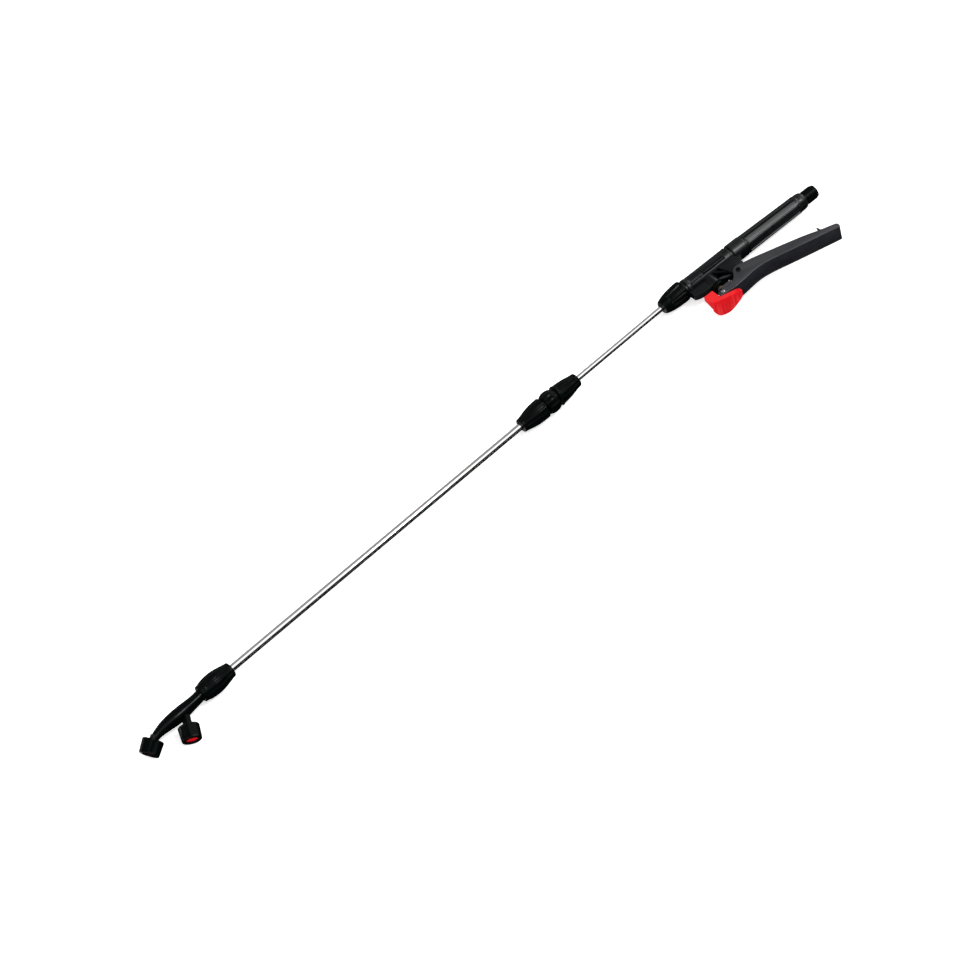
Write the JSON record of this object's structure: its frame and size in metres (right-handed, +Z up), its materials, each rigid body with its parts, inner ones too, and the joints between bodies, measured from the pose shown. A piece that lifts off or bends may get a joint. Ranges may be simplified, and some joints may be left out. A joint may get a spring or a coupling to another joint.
{
  "type": "telescopic sprayer lance",
  "caption": "Telescopic sprayer lance with trigger shut-off handle, latch, sliding steel tube, clamp nuts and a forked twin-nozzle head; lies on its side.",
  "frame": {"origin": "centre of the base of the bounding box, on the floor it lies on", "axes": "+X along the lance from the nozzles to the hose inlet, lever and nozzles on the -Y side, +Z up"},
  "size_m": [1.175, 0.1102, 0.0567],
  "materials": {
    "black_plastic": "satin moulded",
    "steel_tube": "polished stainless",
    "red_plastic": "satin moulded",
    "rubber_seal": "matte",
    "natural_plastic": "matte",
    "spring_steel": "brushed",
    "brass": "machined"
  },
  "bodies": {
    "handle": {"valve_body": "black_plastic", "gland_cap": "black_plastic", "stem_o_ring": "rubber_seal", "valve_seat": "brass", "grip_sleeve": "black_plastic", "grip_seal": "rubber_seal", "inlet_filter": "natural_plastic", "hose_inlet": "black_plastic", "lever_pin": "spring_steel"},
    "lever": {"lever": "black_plastic", "lock_pin": "spring_steel"},
    "latch": {"lever_lock": "red_plastic"},
    "stem": {"valve_stem": "brass", "stem_nut": "brass", "valve_spring": "spring_steel"},
    "handle_nut": {"handle_nut": "black_plastic"},
    "rear_lance": {"rear_tube": "steel_tube", "guide_bush": "natural_plastic", "handle_collet": "natural_plastic", "handle_o_ring": "rubber_seal"},
    "front_lance": {"front_tube": "steel_tube", "coupling_body": "black_plastic", "coupling_front_collet": "natural_plastic", "coupling_rear_collet": "natural_plastic", "coupling_o_ring": "rubber_seal", "head_collet": "natural_plastic"},
    "coupling_front_nut": {"coupling_front_nut": "black_plastic"},
    "coupling_rear_nut": {"coupling_rear_nut": "black_plastic"},
    "head": {"nozzle_arm": "black_plastic", "head_o_ring": "rubber_seal", "tip_gasket": "rubber_seal", "tip_swirl_core": "natural_plastic", "side_gasket": "rubber_seal", "side_swirl_core": "natural_plastic"},
    "head_nut": {"head_nut": "black_plastic"},
    "tip_cap": {"tip_nozzle_cap": "black_plastic", "tip_nozzle_disc": "red_plastic"},
    "side_cap": {"side_nozzle_cap": "black_plastic", "side_nozzle_disc": "red_plastic"}
  },
  "joints": [
    {"name": "lever_pull", "type": "hinge", "parent": "handle", "child": "lever", "pos_m": [0.41722, -0.0011, 0.02874], "axis": [0, 0.309, 0.9511], "range_deg": [0, 18], "stiffness_Nm_per_rad": 2, "springref_deg": -11.46},
    {"name": "stem_pull", "type": "slide", "parent": "handle", "child": "stem", "axis": [-0.0523, -0.9498, 0.3086], "range_m": [0, 0.0095], "deforming": ["valve_spring"]},
    {"name": "latch_turn", "type": "hinge", "parent": "lever", "child": "latch", "pos_m": [0.37756, -0.01197, 0.03227], "axis": [0, -0.309, -0.9511], "range_deg": [0, 18]},
    {"name": "handle_nut_turn", "type": "hinge", "parent": "handle", "child": "handle_nut", "pos_m": [0.34633, 0.03963, 0.01551], "axis": [1, 0, 0], "range_deg": [0, 180]},
    {"name": "lance_turn", "type": "hinge", "parent": "handle", "child": "rear_lance", "pos_m": [0.31633, 0.03963, 0.01551], "axis": [1, 0, 0], "range_deg": [-180, 180]},
    {"name": "telescope", "type": "slide", "parent": "rear_lance", "child": "front_lance", "axis": [-1, 0, 0], "range_m": [-0.145, 0.33]},
    {"name": "coupling_front_nut_turn", "type": "hinge", "parent": "front_lance", "child": "coupling_front_nut", "pos_m": [0.08633, 0.03963, 0.01551], "axis": [1, 0, 0], "range_deg": [0, 180]},
    {"name": "coupling_rear_nut_turn", "type": "hinge", "parent": "front_lance", "child": "coupling_rear_nut", "pos_m": [0.13633, 0.03963, 0.01551], "axis": [1, 0, 0], "range_deg": [0, 180]},
    {"name": "head_turn", "type": "hinge", "parent": "front_lance", "child": "head", "pos_m": [-0.46367, 0.03963, 0.01551], "axis": [1, 0, 0], "range_deg": [-180, 180]},
    {"name": "head_nut_turn", "type": "hinge", "parent": "head", "child": "head_nut", "pos_m": [-0.45367, 0.03963, 0.01551], "axis": [1, 0, 0], "range_deg": [0, 180]},
    {"name": "tip_cap_turn", "type": "hinge", "parent": "head", "child": "tip_cap", "pos_m": [-0.56457, 0.03299, 0.01727], "axis": [-0.8331, -0.4975, -0.2416], "range_deg": [0, 270]},
    {"name": "side_cap_turn", "type": "hinge", "parent": "head", "child": "side_cap", "pos_m": [-0.52087, 0.01867, 0.01411], "axis": [-0.4478, -0.8922, -0.0596], "range_deg": [0, 270]}
  ],
  "couplings": [
    {"joint": "stem_pull", "follows": "lever_pull", "m_per_rad": 0.03}
  ]
}
